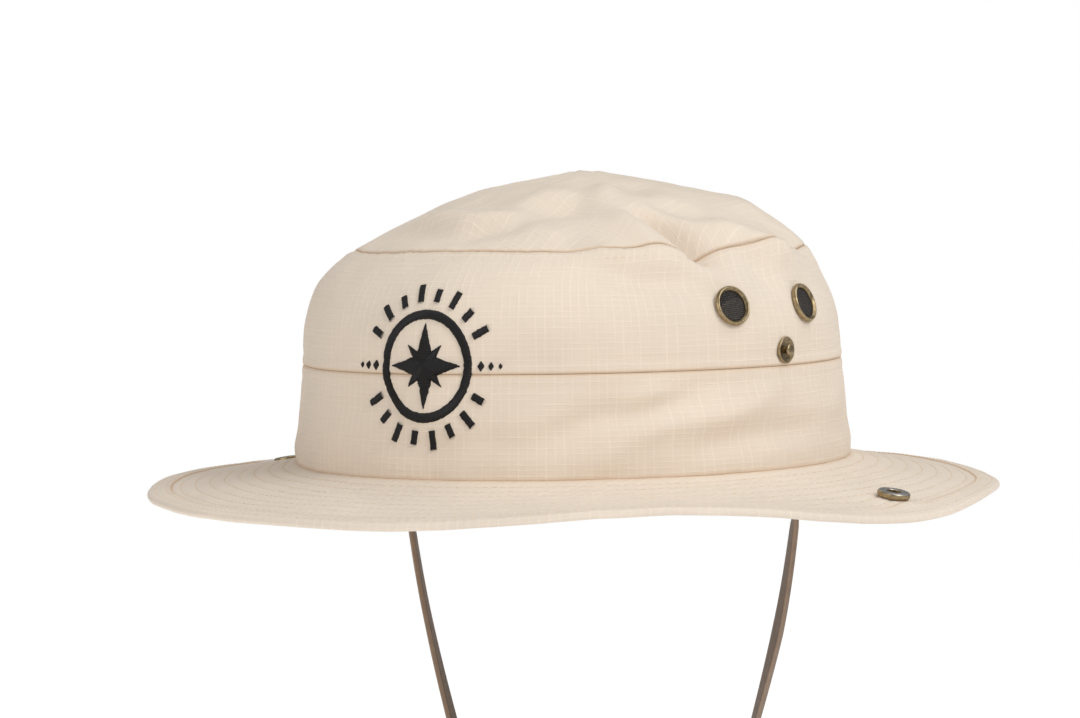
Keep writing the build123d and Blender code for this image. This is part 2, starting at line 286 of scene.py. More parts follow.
def ringPlaces(bm):
    flat = np.array([v.co for v in bm.verts])
    return np.arctan2(flat[:, 1], flat[:, 0]), np.hypot(flat[:, 0], flat[:, 1]) - 200.0


def moveVerts(bm, places):
    for vert, place in zip(bm.verts, places):
        vert.co = place


# weight of the painted crease shade, one value for each vertex, read by the cloth material
def creaseShade(bm, values):
    layer = bm.verts.layers.float.new("creaseShade")
    for vert, value in zip(bm.verts, values):
        vert[layer] = float(value)


def newMaterial(name, roughness, metallic=0.0):
    material = bpy.data.materials.new(name)
    material.use_nodes = True
    nodes, links = material.node_tree.nodes, material.node_tree.links
    shader = nodes["Principled BSDF"]
    shader.inputs["Roughness"].default_value = roughness
    shader.inputs["Metallic"].default_value = metallic
    return material, nodes, links, shader


def mathNode(nodes, links, operation, a, b=None, clamp=False):
    node = nodes.new("ShaderNodeMath")
    node.operation = operation
    node.use_clamp = clamp
    for socket, value in zip(node.inputs, (a, b)):
        if value is None:
            continue
        if isinstance(value, (int, float)):
            socket.default_value = value
        else:
            links.new(value, socket)
    return node.outputs[0]


def threads(nodes, links, coordinate, axis, pitch, sharp, seedScale):
    # thin raised yarns every pitch, a little uneven
    split = nodes.new("ShaderNodeSeparateXYZ")
    links.new(coordinate, split.inputs[0])
    wobble = nodes.new("ShaderNodeTexNoise")
    wobble.inputs["Scale"].default_value = seedScale
    wobble.inputs["Detail"].default_value = 2
    links.new(coordinate, wobble.inputs["Vector"])
    turns = mathNode(nodes, links, "MULTIPLY", split.outputs[axis], 2 * math.pi / pitch)
    bend = mathNode(nodes, links, "MULTIPLY", wobble.outputs[0], 1.6)
    wave = mathNode(nodes, links, "COSINE", mathNode(nodes, links, "ADD", turns, bend))
    lifted = mathNode(nodes, links, "MULTIPLY_ADD", wave, 0.5)
    lifted.node.inputs[2].default_value = 0.5
    return mathNode(nodes, links, "POWER", lifted, sharp)


def cameAndWent(nodes, links, coordinate, scale):
    # yarns that show for a stretch and then sink back in the weave
    mapping = nodes.new("ShaderNodeMapping")
    mapping.inputs["Scale"].default_value = scale
    links.new(coordinate, mapping.inputs[0])
    patches = nodes.new("ShaderNodeTexNoise")
    patches.inputs["Scale"].default_value = 1
    patches.inputs["Detail"].default_value = 1
    links.new(mapping.outputs[0], patches.inputs["Vector"])
    shown = nodes.new("ShaderNodeMapRange")
    shown.interpolation_type = "SMOOTHSTEP"
    shown.inputs["From Min"].default_value = 0.36
    shown.inputs["From Max"].default_value = 0.62
    shown.inputs["To Min"].default_value = 0.12
    links.new(patches.outputs[0], shown.inputs["Value"])
    return shown.outputs[0]


def ripstop(name, base, creaseShadeColour, grid=(3.1, 1.7), gridLift=0.00009):
    # plain cotton weave with a grid of heavier yarns
    material, nodes, links, shader = newMaterial(name, 0.88)
    shader.inputs["Sheen Weight"].default_value = 0.12
    shader.inputs["Sheen Roughness"].default_value = 0.5
    shader.inputs["Specular IOR Level"].default_value = 0.25
    uv = nodes.new("ShaderNodeUVMap")
    uv.uv_map = "cloth"
    cloth = uv.outputs[0]
    warpYarn = threads(nodes, links, cloth, 0, grid[0] * mm, 9.0, 90)
    weftYarn = threads(nodes, links, cloth, 1, grid[1] * mm, 7.0, 70)
    fineWarp = threads(nodes, links, cloth, 0, 0.42 * mm, 1.0, 200)
    fineWeft = threads(nodes, links, cloth, 1, 0.46 * mm, 1.0, 200)
    stretched = nodes.new("ShaderNodeMapping")
    stretched.inputs["Scale"].default_value = (260, 2400, 1)
    links.new(cloth, stretched.inputs[0])
    slub = nodes.new("ShaderNodeTexNoise")
    slub.inputs["Scale"].default_value = 1
    slub.inputs["Detail"].default_value = 3
    links.new(stretched.outputs[0], slub.inputs["Vector"])
    patchy = nodes.new("ShaderNodeTexNoise")
    patchy.inputs["Scale"].default_value = 28
    patchy.inputs["Detail"].default_value = 4
    links.new(cloth, patchy.inputs["Vector"])
    weftHere = mathNode(nodes, links, "MULTIPLY", weftYarn, cameAndWent(nodes, links, cloth, (45, 640, 1)))
    warpHere = mathNode(nodes, links, "MULTIPLY", warpYarn, cameAndWent(nodes, links, cloth, (420, 60, 1)))
    yarns = mathNode(nodes, links, "ADD", warpHere, weftHere)
    fine = mathNode(nodes, links, "MULTIPLY", fineWarp, fineWeft)
    height = mathNode(nodes, links, "ADD", yarns, mathNode(nodes, links, "MULTIPLY", fine, 0.55))
    height = mathNode(nodes, links, "ADD", height, mathNode(nodes, links, "MULTIPLY", slub.outputs[0], 0.5))
    bump = nodes.new("ShaderNodeBump")
    bump.inputs["Strength"].default_value = 0.75
    bump.inputs["Distance"].default_value = gridLift
    links.new(height, bump.inputs["Height"])
    links.new(bump.outputs[0], shader.inputs["Normal"])
    tone = nodes.new("ShaderNodeValToRGB")
    tone.color_ramp.elements[0].position = 0.25
    tone.color_ramp.elements[0].color = tuple(c * 0.94 for c in base) + (1,)
    tone.color_ramp.elements[1].position = 1.0
    tone.color_ramp.elements[1].color = tuple(min(1, c * 1.08) for c in base) + (1,)
    blended = mathNode(nodes, links, "MULTIPLY_ADD", yarns, 0.32)
    links.new(mathNode(nodes, links, "MULTIPLY", patchy.outputs[0], 0.9), blended.node.inputs[2])
    links.new(blended, tone.inputs[0])
    # painted shade: the colour is mixed toward a warm tan along the seams, by the weight stored on the
    # vertices, standing in for the shade and warm bounce light in the creases
    creaseShadeMix = nodes.new("ShaderNodeMixRGB")
    creaseShadeMix.inputs["Color2"].default_value = creaseShadeColour + (1,)
    creaseShadeWeight = nodes.new("ShaderNodeAttribute")
    creaseShadeWeight.attribute_name = "creaseShade"
    links.new(creaseShadeWeight.outputs["Fac"], creaseShadeMix.inputs["Fac"])
    links.new(tone.outputs[0], creaseShadeMix.inputs["Color1"])
    links.new(creaseShadeMix.outputs[0], shader.inputs["Base Color"])
    return material


def plainCloth(name, base, pitch, lift, contrast=0.12, rough=0.9, useUv=True):
    material, nodes, links, shader = newMaterial(name, rough)
    shader.inputs["Sheen Weight"].default_value = 0.2
    if useUv:
        source = nodes.new("ShaderNodeUVMap")
        source.uv_map = "cloth"
        cloth = source.outputs[0]
    else:
        source = nodes.new("ShaderNodeTexCoord")
        cloth = source.outputs["Object"]
    one = threads(nodes, links, cloth, 0, pitch, 1.0, 150)
    two = threads(nodes, links, cloth, 1, pitch * 1.1, 1.0, 150)
    woven = mathNode(nodes, links, "MULTIPLY", one, two)
    grain = nodes.new("ShaderNodeTexNoise")
    grain.inputs["Scale"].default_value = 300
    links.new(cloth, grain.inputs["Vector"])
    height = mathNode(nodes, links, "ADD", woven, grain.outputs[0])
    bump = nodes.new("ShaderNodeBump")
    bump.inputs["Strength"].default_value = 0.7
    bump.inputs["Distance"].default_value = lift
    links.new(height, bump.inputs["Height"])
    links.new(bump.outputs[0], shader.inputs["Normal"])
    tone = nodes.new("ShaderNodeValToRGB")
    tone.color_ramp.elements[0].color = tuple(c * (1 - contrast) for c in base) + (1,)
    tone.color_ramp.elements[1].color = tuple(min(1, c * (1 + contrast)) for c in base) + (1,)
    links.new(mathNode(nodes, links, "MULTIPLY", height, 0.6), tone.inputs[0])
    links.new(tone.outputs[0], shader.inputs["Base Color"])
    return material


def antiqueMetal(name, base, bright, roughness):
    # darkened brass, rubbed bright where it wears
    material, nodes, links, shader = newMaterial(name, roughness, 1.0)
    place = nodes.new("ShaderNodeTexCoord").outputs["Object"]
    worn = nodes.new("ShaderNodeTexNoise")
    worn.inputs["Scale"].default_value = 900
    worn.inputs["Detail"].default_value = 6
    links.new(place, worn.inputs["Vector"])
    edge = nodes.new("ShaderNodeNewGeometry").outputs["Pointiness"]
    raised = mathNode(nodes, links, "MULTIPLY_ADD", edge, 5.0)
    raised.node.inputs[2].default_value = -2.35
    patches = mathNode(nodes, links, "MULTIPLY", worn.outputs[0], 0.7)
    mixed = mathNode(nodes, links, "ADD", raised, patches, True)
    tone = nodes.new("ShaderNodeValToRGB")
    tone.color_ramp.elements[0].position = 0.3
    tone.color_ramp.elements[0].color = base + (1,)
    tone.color_ramp.elements[1].position = 0.85
    tone.color_ramp.elements[1].color = bright + (1,)
    links.new(mixed, tone.inputs[0])
    links.new(tone.outputs[0], shader.inputs["Base Color"])
    bump = nodes.new("ShaderNodeBump")
    bump.inputs["Strength"].default_value = 0.25
    bump.inputs["Distance"].default_value = 0.00005
    links.new(worn.outputs[0], bump.inputs["Height"])
    links.new(bump.outputs[0], shader.inputs["Normal"])
    return material


def satinThread(name, base):
    material, nodes, links, shader = newMaterial(name, 0.5)
    shader.inputs["Specular IOR Level"].default_value = 0.3
    source = nodes.new("ShaderNodeUVMap")
    source.uv_map = "cloth"
    rows = threads(nodes, links, source.outputs[0], 0, 0.5 * mm, 1.0, 900)
    bump = nodes.new("ShaderNodeBump")
    bump.inputs["Strength"].default_value = 1.0
    bump.inputs["Distance"].default_value = 0.00018
    links.new(rows, bump.inputs["Height"])
    links.new(bump.outputs[0], shader.inputs["Normal"])
    # painted sheen: each row of thread is lighter on its crest and darker between rows
    tone = nodes.new("ShaderNodeValToRGB")
    tone.color_ramp.elements[0].color = tuple(c * 0.5 for c in base) + (1,)
    tone.color_ramp.elements[1].color = tuple(c * 2.2 for c in base) + (1,)
    links.new(rows, tone.inputs[0])
    links.new(tone.outputs[0], shader.inputs["Base Color"])
    return material


def moulded(name, base, roughness):
    material, nodes, links, shader = newMaterial(name, roughness)
    place = nodes.new("ShaderNodeTexCoord").outputs["Object"]
    grain = nodes.new("ShaderNodeTexNoise")
    grain.inputs["Scale"].default_value = 2600
    grain.inputs["Detail"].default_value = 3
    links.new(place, grain.inputs["Vector"])
    bump = nodes.new("ShaderNodeBump")
    bump.inputs["Strength"].default_value = 0.35
    bump.inputs["Distance"].default_value = 0.00006
    links.new(grain.outputs[0], bump.inputs["Height"])
    links.new(bump.outputs[0], shader.inputs["Normal"])
    tone = nodes.new("ShaderNodeValToRGB")
    tone.color_ramp.elements[0].color = tuple(c * 0.8 for c in base) + (1,)
    tone.color_ramp.elements[1].color = tuple(c * 1.25 for c in base) + (1,)
    links.new(grain.outputs[0], tone.inputs[0])
    links.new(tone.outputs[0], shader.inputs["Base Color"])
    return material


# each cloth's second colour is painted shade: the warm tan of shade and bounce light in the seam creases
creamCloth = ripstop("creamRipstop", (0.80, 0.685, 0.565), (0.62, 0.40, 0.22))
brimCloth = ripstop("brimRipstop", (0.80, 0.69, 0.575), (0.62, 0.41, 0.23), gridLift=0.00005)
creamThread = plainCloth("creamThread", (0.78, 0.62, 0.46), 0.0004, 0.00006, 0.2, 0.7, False)
bandCloth = plainCloth("sweatbandTwill", (0.66, 0.54, 0.42), 0.0007, 0.0001)
tapeCloth = plainCloth("seamTape", (0.60, 0.48, 0.36), 0.0009, 0.00012)
backingCloth = plainCloth("stiffener", (0.78, 0.76, 0.72), 0.0012, 0.00008)
labelCloth = plainCloth("labelSatin", (0.82, 0.80, 0.76), 0.0003, 0.00003, 0.05, 0.5)
blackThread = satinThread("blackSatin", (0.0075, 0.0072, 0.0075))
brass = antiqueMetal("antiqueBrass", (0.11, 0.08, 0.045), (0.52, 0.40, 0.23), 0.33)
steelCap = antiqueMetal("dullNickel", (0.20, 0.19, 0.17), (0.55, 0.53, 0.49), 0.38)
darkMesh = plainCloth("ventMesh", (0.035, 0.028, 0.022), 0.0005, 0.00005, 0.5, 0.45, False)
strapCloth = plainCloth("strapWebbing", (0.150, 0.110, 0.083), 0.0006, 0.00012, 0.25)
strapEdge = plainCloth("strapEdge", (0.30, 0.21, 0.15), 0.0006, 0.00012, 0.25)
lockPlastic = moulded("lockPlastic", (0.028, 0.024, 0.020), 0.5)
springSteel = antiqueMetal("springSteel", (0.45, 0.45, 0.46), (0.75, 0.75, 0.76), 0.25)


def stitchShape(length, radius):
    shape = bmesh.new()
    bmesh.ops.create_uvsphere(shape, u_segments=6, v_segments=4, radius=1.0)
    bmesh.ops.scale(shape, vec=(length / 2, radius, radius), verts=shape.verts)
    for face in shape.faces:
        face.smooth = True
    mesh = bpy.data.meshes.new("stitchShape")
    shape.to_mesh(mesh)
    shape.free()
    return mesh


def layStitches(bm, shape, places, outs, sink=0.05):
    # one stitch between each pair of neighbouring points, lying along them
    places = [Vector(p) for p in places]
    for a, b, out in zip(places, places[1:], outs):
        along = (b - a).normalized()
        up = Vector(out).normalized()
        side = up.cross(along).normalized()
        up = along.cross(side)
        turn = Matrix((along, side, up)).transposed().to_4x4()
        where = Matrix.Translation((a + b) / 2 - up * sink) @ turn
        shape.transform(where)
        bm.from_mesh(shape)
        shape.transform(where.inverted())


def normalsOf(pointsAt, angle, up):
    a = pointsAt(angle + 0.01, up) - pointsAt(angle - 0.01, up)
    b = pointsAt(angle, up + 0.4) - pointsAt(angle, up - 0.4)
    n = np.cross(a, b)
    return n / np.linalg.norm(n, axis=1)[:, None]


print("crown")
# rows up the wall are closer together near the seams
crown = {"steps": 320, "row": 1.35, "seamRow": 0.45, "turnIn": 0.4}


def wallRows(low, high):
    rows = [low]
    while rows[-1] < high - 0.01:
        edge = min(rows[-1] - low, high - rows[-1])
        rows.append(min(high, rows[-1] + (crown["seamRow"] if edge < 2.0 else crown["row"])))
    return rows


def turnedEdge(ups, low, high, lowTurn=True, highTurn=True):
    # each panel's raw edge is folded in at its seam
    dip = np.zeros_like(ups)
    if lowTurn:
        dip += crown["turnIn"] * np.exp(-((ups - low) / 0.5)**2)
    if highTurn:
        dip += crown["turnIn"] * np.exp(-((ups - high) / 0.55)**2)
    return dip


def makeBand(name, low, high, material, replaces, radius=94):
    bm = spinSheet(wallRows(low, high), crown["steps"])
    angles, ups = ringPlaces(bm)
    moveVerts(bm, crownPoints(angles, ups, turnedEdge(ups, low, high, low > 0)))
    # painted shade along both seams of the band
    seamShadeHere = np.exp(-((ups - low) / 0.7)**2) + np.exp(-((ups - high) / 0.7)**2)
    creaseShade(bm, np.clip(seamShadeHere, 0, 1) * 0.5)
    unroll(bm, angles, ups, radius)
    piece = finishPiece(bm, name, material, replaces=replaces, flip=pointsInward)
    addThickness(piece, hat["cloth"] - 0.3)
    return piece


def addThickness(piece, thickness):
    solid = piece.modifiers.new("thickness", "SOLIDIFY")
    solid.thickness = thickness * mm
    solid.offset = -1
    solid.use_even_offset = False


makeBand("lowerBand", 0.0, hat["midSeam"], creamCloth, ["crown_lower_band"])
makeBand("upperBand", hat["midSeam"] + 0.1, hat["topSeam"], creamCloth, ["crown_upper_band"])


def makeTop():
    # a square grid squeezed to a disc, so the top has no pole
    size = 110
    bm = bmesh.new()
    bmesh.ops.create_grid(bm, x_segments=size, y_segments=size, size=1.0)
    bm.verts.index_update()
    square = np.array([v.co for v in bm.verts])
    u, v = square[:, 0], square[:, 1]
    x, y = u * np.sqrt(1 - v * v / 2), v * np.sqrt(1 - u * u / 2)
    reach = np.hypot(x, y)
    angles = np.arctan2(y, x)
    top = hat["topSeam"] + 0.1
    # rings crowd towards the seam
    ups = top + (hat["crownTop"] - top) * (1 - reach)
    moveVerts(bm, crownPoints(angles, ups, turnedEdge(ups, top, 999, True, False)))
    # painted shade along the top seam
    creaseShade(bm, 0.5 * np.exp(-((ups - top) / 0.7)**2))
    uv = bm.loops.layers.uv.new("cloth")
    for face in bm.faces:
        for loop in face.loops:
            loop[uv].uv = (loop.vert.co.x * mm, loop.vert.co.y * mm)
    piece = finishPiece(bm, "topPanel", creamCloth, replaces=["crown_top_panel"],
                        flip=lambda m: sum(f.normal.z * f.calc_area() for f in m.faces) < 0)
    addThickness(piece, hat["cloth"] - 0.3)
    return piece


makeTop()


def makeCrownStitches():
    bm = bmesh.new()
    shape = stitchShape(2.3, 0.24)
    pitch = 2.7
    for up, inset in ((hat["midSeam"] - 4.2, 0.0), (hat["midSeam"] + 4.2, 0.0), (hat["topSeam"] - 4.2, 0.0)):
        grow = float(np.interp(up, wallLength, wall[:, 0]))
        count = int(2 * math.pi * (95 + grow) / pitch)
        angles = np.linspace(-math.pi, math.pi, count + 1)
        ups = np.full(count + 1, up)
        places = crownPoints(angles, ups, inset)
        outs = np.stack([np.cos(angles), np.sin(angles), np.full(count + 1, 0.1)], 1)
        layStitches(bm, shape, places, outs)
    return finishPiece(bm, "crownStitches", creamThread)


makeCrownStitches()

print("brim")
brim = {
    "steps": 360,
    "rowGap": 5.0, "rows": 8, "groove": 0.32,
    # how far the edge hangs below or above its cone: degrees from the front, mm
    "wave": [(-180, 1.6), (-140, 0.2), (-100, 1.9), (-80, 3.0), (-60, 2.0), (-25, 1.6), (0, 1.8), (18, 1.2),
             (28, 2.2), (38, 4.6), (50, 6.2), (60, 5.2), (70, 2.0), (78, -1.4), (88, -2.9), (95, -1.4),
             (104, 1.8), (125, 0.4), (150, 1.2), (180, 1.6)],
    "curl": 2.6,
    "seat": 8.0,           # the cloth lies flat this far round each socket
    "lap": 0.8,            # the right half runs on past the middle by this, a hair lower
}
hardware = {
    "steps": 48,
    "sideY": -3.5,                             # stud and socket, along the hat
    "ventUp": 52.6, "ventAngle": 9.7, "ventMiddle": 4.0,
    "socketX": 129.0, "slope": 10.76,          # the brim's fall there, in degrees
}


def brimTop(angle, out):
    # height of the brim's upper surface
    front = np.degrees((angle + math.pi / 2 + math.pi) % (2 * math.pi) - math.pi)
    turns = np.array([p[0] for p in brim["wave"]], float)
    lifts = np.array([p[1] for p in brim["wave"]], float)
    total = 0
    for shift, weight in ((-6, 0.2), (-3, 0.2), (0, 0.2), (3, 0.2), (6, 0.2)):
        total = total + weight * np.interp((front + shift + 180) % 360 - 180, turns, lifts)
    part = np.clip(out / hat["brimOut"], 0, 1.05)
    cone = -(out - hat["brimIn"]) / (hat["brimOut"] - hat["brimIn"]) * hat["brimDrop"]
    x, y = ovalPoints(angle, out)
    fromSocket = np.hypot(np.abs(x) - hardware["socketX"], y - hardware["sideY"])
    seat = 1 - np.exp(-(fromSocket / brim["seat"])**4)
    meeting = 0.5 * np.exp(-(out / 2.5)**2)       # rises a little to meet the crown
    return cone + meeting + total * seat * part**brim["curl"]


def brimSection():
    # across the brim: outwards over the top, round the edge, back underneath; (out, depth)
    start, end = hat["brimIn"], hat["brimOut"]
    hem = end - hat["hemWidth"]
    thick, step = hat["brimThick"], hat["hemStep"]
    section = [(start, 0.0)]
    section += [(float(w), 0.0) for w in range(0, int(hem) + 1)]
    section += [(hem - 0.15, 0.05), (hem + 0.05, -0.25), (hem + 0.5, -step)]
    section += [(hem + w, -step) for w in (1.4, 2.2, 3.2, 4.2, 5.2, 5.9)]
    middle, half = thick / 2, thick / 2 + step
    section += [(end - half + half * math.sin(t), middle - half * math.cos(t))
                for t in np.linspace(0.12, math.pi - 0.12, 11)]
    section += [(hem + w, thick + step) for w in (5.2, 3.4, 1.6, 0.5)] + [(hem, thick + 0.1)]
    section += [(float(w), thick) for w in range(int(hem) - 1, 0, -2)] + [(start, thick)]
    return section


def makeBrimSides():
    section = brimSection()
    bm = bmesh.new()
    verts = [bm.verts.new((200.0 + i, 0, 0)) for i in range(len(section) + 1)]
    edges = [bm.edges.new(pair) for pair in zip(verts, verts[1:])]
    bmesh.ops.spin(bm, geom=verts + edges, cent=(0, 0, 0), axis=(0, 0, 1), dvec=(0, 0, 0),
                   angle=2 * math.pi, steps=brim["steps"], use_merge=True)
    bmesh.ops.remove_doubles(bm, verts=bm.verts, dist=0.001)
    bm.verts.index_update()
    angles, index = ringPlaces(bm)
    closed = section + [section[0]]
    out = np.interp(index, range(len(closed)), [p[0] for p in closed])
    depth = np.interp(index, range(len(closed)), [p[1] for p in closed])
    x, y = ovalPoints(angles, out)
    z = brimTop(angles, out) - depth
    front = angles + math.pi / 2
    soft = 0.55 * ripples(front, out * 1.0, 26, 5.5) + 0.16 * ripples(front, out, 7, 2.2)
    z = z + soft * smooth(out, 0, 14)
    groove = np.zeros_like(out)
    for row in range(1, brim["rows"] + 1):
        groove += np.exp(-((out - row * brim["rowGap"]) / 0.5)**2)
    side = np.where(depth > hat["brimThick"] / 2, -1.0, 1.0)
    z = z - side * groove * brim["groove"] * (np.abs(out) < hat["brimOut"] - hat["hemWidth"])
    moveVerts(bm, np.stack([x, y, z], 1))
    hemAt = hat["brimOut"] - hat["hemWidth"]
    # painted shade along the hem's crease and where the brim meets the crown
    brimLineShade = np.exp(-((out - hemAt) / 0.35)**2) * 0.8 + np.exp(-((out - 0.2) / 1.1)**2) * 0.55
    creaseShade(bm, np.clip(brimLineShade, 0, 1))
    uv = bm.loops.layers.uv.new("cloth")
    for face in bm.faces:
        here = [loop.vert.index for loop in face.loops]
        onHem = min(out[i] for i in here) > hemAt + 0.2
        overSeam = max(angles[here]) - min(angles[here]) > 3
        turned = [angles[i] + (2 * math.pi if angles[i] < 0 and overSeam else 0) for i in here]
        for loop, i, a in zip(face.loops, here, turned):
            if onHem:
                loop[uv].uv = (a * 140 * mm, (out[i] + depth[i]) * mm)
            else:
                loop[uv].uv = (loop.vert.co.x * mm, loop.vert.co.y * mm)
    bmesh.ops.remove_doubles(bm, verts=bm.verts, dist=0.02)
    sides = []
    for name, sign in (("brimLeft", 1), ("brimRight", -1)):
        half = bm.copy()
        lap = 0 if sign > 0 else brim["lap"]
        bmesh.ops.bisect_plane(half, geom=half.verts[:] + half.edges[:] + half.faces[:], dist=0.0001,
                               plane_co=(lap, 0, 0), plane_no=(-sign, 0, 0), clear_outer=True)
        bmesh.ops.recalc_face_normals(half, faces=half.faces)
        half.normal_update()
        for vert in half.verts:
            if lap and vert.is_boundary:
                vert.co.z -= 0.15 * math.copysign(1, vert.normal.z)
        rim = [e for e in half.edges if e.is_boundary]
        for edge in rim:
            edge.smooth = False
        caps = bmesh.ops.holes_fill(half, edges=rim, sides=0)["faces"]
        bmesh.ops.triangulate(half, faces=caps, quad_method="BEAUTY", ngon_method="EAR_CLIP")
        bmesh.ops.recalc_face_normals(half, faces=half.faces)
        sides.append(finishPiece(half, name, brimCloth, rides=False))
    bm.free()
    return sides


def brimSurface(angle, out):
    x, y = ovalPoints(angle, out)
    z = brimTop(angle, out)
    front = angle + math.pi / 2
    soft = 0.55 * ripples(front, out * 1.0, 26, 5.5) + 0.16 * ripples(front, out, 7, 2.2)
    return np.stack([x, y, z + soft * smooth(out, 0, 14)], 1)


brimLeft, brimRight = makeBrimSides()
for piece, body, sign in ((brimLeft, "left_brim_side", 1), (brimRight, "right_brim_side", -1)):
    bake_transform(piece)
sections = ("upper_ply", "interlining", "lower_ply", "edge_binding")
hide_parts(*[f"{place}_brim_{layer}" for place in ("left", "front") for layer in sections])
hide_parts(*[f"{place}_brim_{layer}" for place in ("right", "rear") for layer in sections])


def makeBrimStitches():
    shape = stitchShape(2.5, 0.26)
    pitch = 3.0
    hemAt = hat["brimOut"] - hat["hemWidth"]
    rows = [(row * brim["rowGap"], brim["groove"] * 0.7) for row in range(1, brim["rows"] + 1)]
    rows += [(hemAt + 1.6, -hat["hemStep"]), (hemAt + 5.4, -hat["hemStep"])]
    halves = (("brimStitchesLeft", "left_brim_side", 1), ("brimStitchesRight", "right_brim_side", -1))
    for name, body, sign in halves:
        bm = bmesh.new()
        for out, depth in rows:
            count = int(math.pi * (95 + out) / pitch)
            half = np.linspace(-math.pi / 2, math.pi / 2, count + 1)
            angles = half if sign > 0 else math.pi - half
            places = brimSurface(angles, np.full(count + 1, out)) - np.array([0, 0, depth])
            outs = np.tile([0, 0, 1.0], (count + 1, 1))
            layStitches(bm, shape, places, outs, 0.1)
        piece = finishPiece(bm, name, creamThread, rides=False)
        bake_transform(piece)


makeBrimStitches()

print("inside")
inner = {"steps": 240, "bandTop": 28.0}


def makeInnerBand(name, low, high, inset, thickness, material, replaces, bulge=0.0, folded=False):
    rows = list(np.arange(low, high, 1.3)) + [high]
    bm = spinSheet(rows, inner["steps"])
    angles, ups = ringPlaces(bm)
    middle = 1 - ((ups - (low + high) / 2) / ((high - low) / 2))**2
    places = crownPoints(angles, np.maximum(ups, 0.0), inset + bulge * middle, detail=folded)
    front = angles + math.pi / 2
    places[:, 2] += np.minimum(ups, 0.0) + 0.25 * ripples(front, ups, 22, 9.0)
    moveVerts(bm, places)
    unroll(bm, angles, ups, 92)
    piece = finishPiece(bm, name, material, replaces=replaces, flip=pointsInward)
    addThickness(piece, thickness)
    return piece


makeInnerBand("headBand", -1.0, inner["bandTop"], 2.6, 0.9, bandCloth, ["sweatband"], 0.25)
makeInnerBand("midSeamTape", 29.2, 36.2, 2.4, 0.5, tapeCloth, ["mid_seam_tape"], folded=True)
makeInnerBand("topSeamTape", 69.5, 74.8, 2.4, 0.5, tapeCloth, ["top_seam_tape"], folded=True)


def makeSeamBinding():
    bm = spinSheet([0.0, 0.6, 1.15], inner["steps"])
    angles, ups = ringPlaces(bm)
    x, y = ovalPoints(angles, np.full_like(angles, hat["brimIn"] - 0.3))
    moveVerts(bm, np.stack([x, y, -2.2 + ups], 1))
    unroll(bm, angles, ups, 92)
    piece = finishPiece(bm, "brimSeamBinding", tapeCloth, replaces=["brim_seam_binding"],
                        flip=pointsInward)
    addThickness(piece, 0.9)
    return piece


makeSeamBinding()


def makePatch(name, middle, up, wide, tall, inset, thickness, material, replaces, isRound=False):
    # a small piece of cloth lying on the inside of the wall
    bm = bmesh.new()
    bmesh.ops.create_grid(bm, x_segments=28, y_segments=18, size=1.0)
    square = np.array([v.co for v in bm.verts])
    u, v = square[:, 0], square[:, 1]
    if isRound:
        u, v = u * np.sqrt(1 - v * v / 2), v * np.sqrt(1 - u * u / 2)
    angles = math.radians(middle - 90) + u * (wide / 2) / 98
    ups = up + v * tall / 2
    moveVerts(bm, crownPoints(angles, ups, inset, detail=False))
    uv = bm.loops.layers.uv.new("cloth")
    bm.verts.index_update()
    for face in bm.faces:
        for loop in face.loops:
            i = loop.vert.index
            loop[uv].uv = (square[i, 0] * wide / 2 * mm, square[i, 1] * tall / 2 * mm)
    piece = finishPiece(bm, name, material, replaces=replaces, flip=pointsInward)
    addThickness(piece, thickness)
    return piece


makePatch("emblemBacking", 10.8, 36.0, 43, 43, 1.75, 0.25, backingCloth, ["emblem_backing"],
          True)
makePatch("sizeLabel", 180, 20.0, 14, 9, 3.95, 0.3, labelCloth, ["size_label"])
makePatch("careLabel", 180, 8.5, 32, 10, 3.9, 0.3, labelCloth, ["care_label"])

print("embroidery")
emblem = {
    "middle": 10.8, "up": 35.6, "lift": 0.35, "height": 0.65,
    "ring": 16.2, "ringWidth": 3.3,
    "longPoint": 13.4, "shortPoint": 9.2, "pointWidth": 6.6,
    "rayIn": 20.4, "rayOut": 26.4, "rays": 20, "rayWidth": 2.6,
}


def onCrown(x, y, lift):
    # a flat design laid on the crown's front
    angles = math.radians(emblem["middle"] - 90) + x / 96.5
    places = crownPoints(angles, emblem["up"] + y, np.zeros_like(x))
    outs = np.stack([np.cos(angles), np.sin(angles), np.full_like(x, 0.08)], 1)
    return places + outs * lift[:, None]


